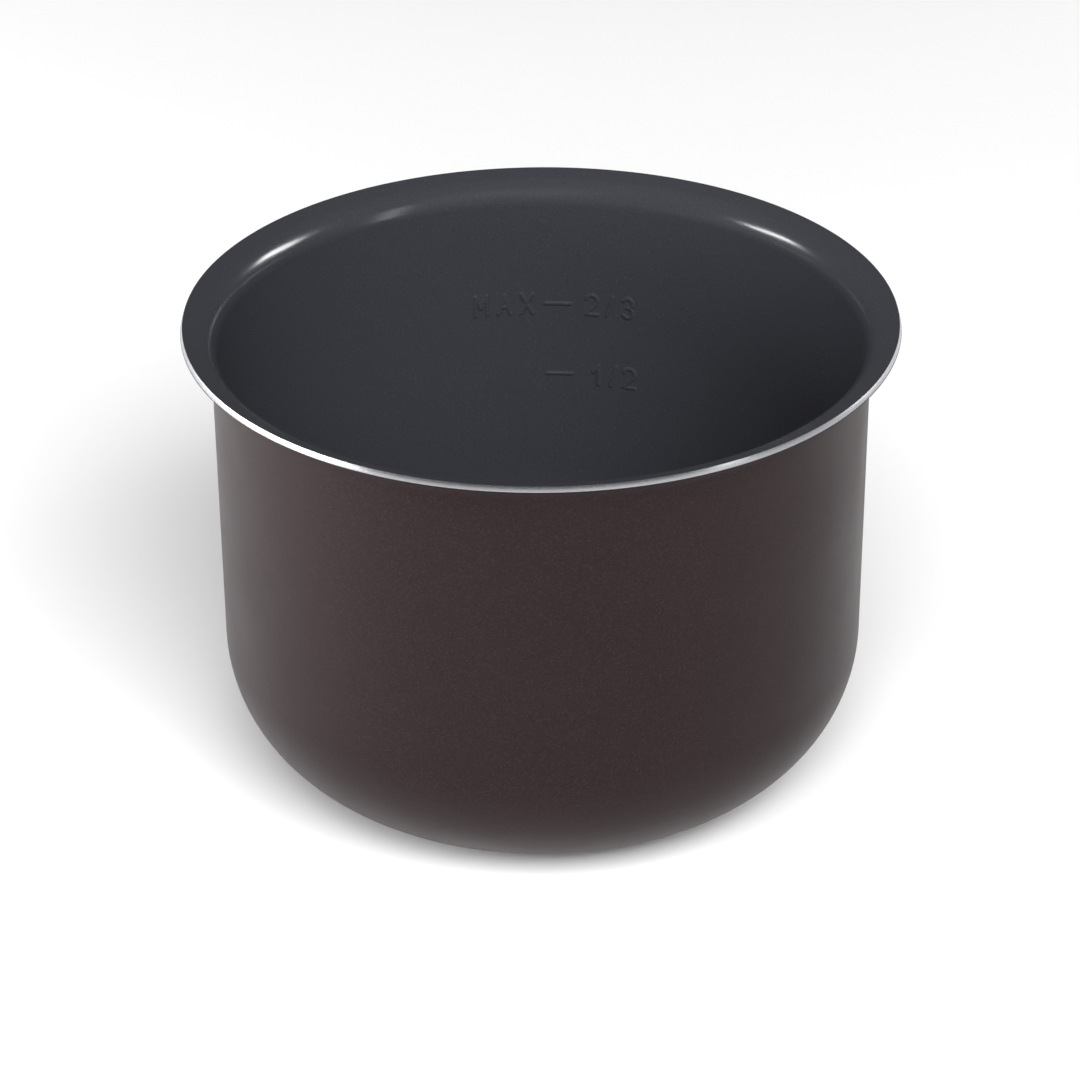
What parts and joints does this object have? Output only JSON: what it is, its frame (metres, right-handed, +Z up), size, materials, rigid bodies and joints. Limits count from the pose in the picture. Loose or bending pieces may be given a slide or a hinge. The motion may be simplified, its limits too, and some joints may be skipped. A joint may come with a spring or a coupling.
{
  "type": "pressure cooker inner pot",
  "caption": "Round deep inner cooking pot with a flared rim, dark ceramic inside, bronze outside, a bare cut edge, a turned base and raised fill marks.",
  "frame": {"origin": "centre of the base, at the height of the surface that the pot stands on", "axes": "+Z up along the pot's axis, +Y towards the side of the wall that carries the fill marks"},
  "size_m": [0.239, 0.239, 0.166],
  "materials": {
    "bare_aluminium": "satin",
    "grey_ceramic": "satin",
    "bronze_paint": "satin"
  },
  "bodies": {
    "root": {"aluminium_body": "bare_aluminium", "ceramic_inner_coating": "grey_ceramic", "bronze_outer_coating": "bronze_paint"}
  },
  "joints": []
}
